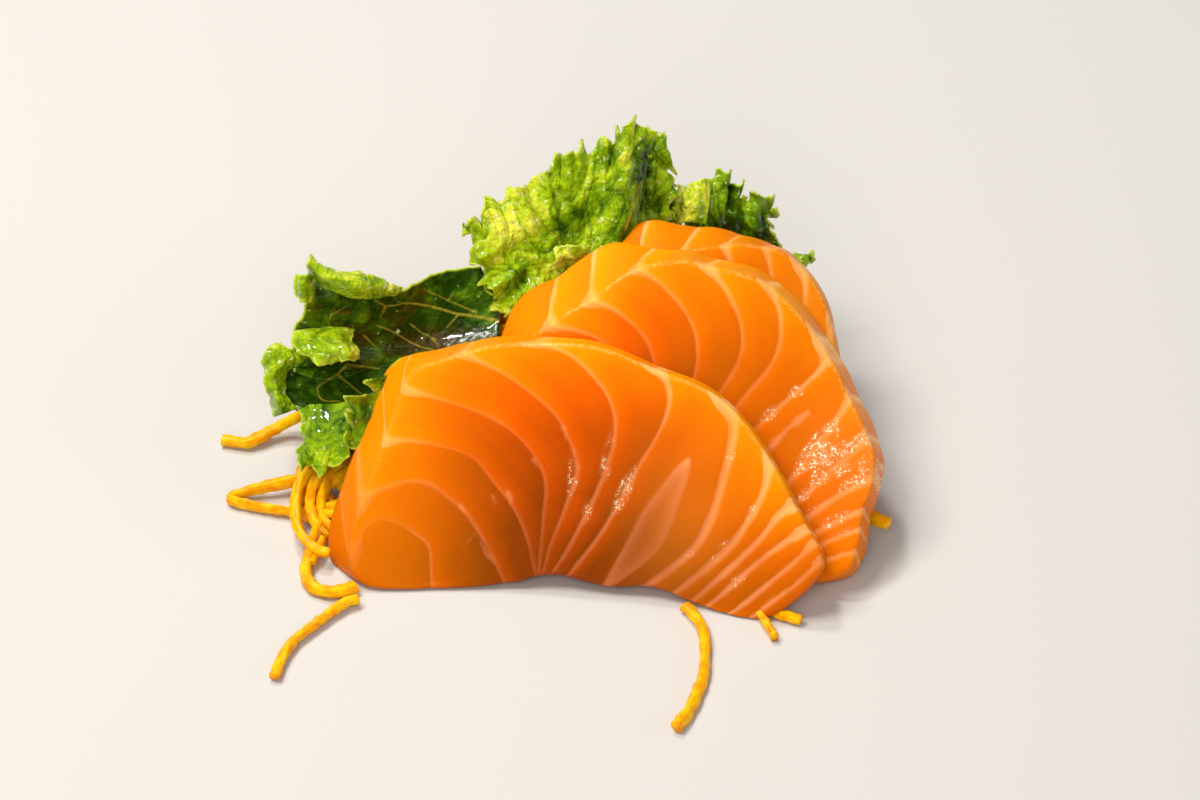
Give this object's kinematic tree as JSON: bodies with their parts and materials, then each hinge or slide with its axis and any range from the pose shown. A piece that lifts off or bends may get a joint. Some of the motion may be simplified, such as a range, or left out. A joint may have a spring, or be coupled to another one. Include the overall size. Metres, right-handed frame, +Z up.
{
  "type": "salmon sashimi",
  "caption": "Leaning raw salmon slices overlapped like tiles on a bed of shredded carrot, with frilled green lettuce leaves behind; a food prop that lies on a table.",
  "frame": {"origin": "on the table, under the middle of the bed of shredded carrot", "axes": "+Z up, -Y towards the diner, whom the cut faces of the slices face, +X to the diner's right"},
  "size_m": [0.1208, 0.123, 0.0475],
  "materials": {
    "salmon": "wet raw fish flesh, smooth with pale fat lines",
    "carrot": "moist cut carrot",
    "lettuce": "waxy wet leaf"
  },
  "bodies": {
    "root": {"slice_front": "salmon", "slice_middle": "salmon", "slice_back": "salmon", "carrot_shreds": "carrot", "carrot_shred_left": "carrot", "carrot_shred_front": "carrot", "carrot_shred_right": "carrot", "carrot_stub_right": "carrot", "lettuce_left": "lettuce", "lettuce_back": "lettuce", "lettuce_right": "lettuce"}
  },
  "joints": []
}
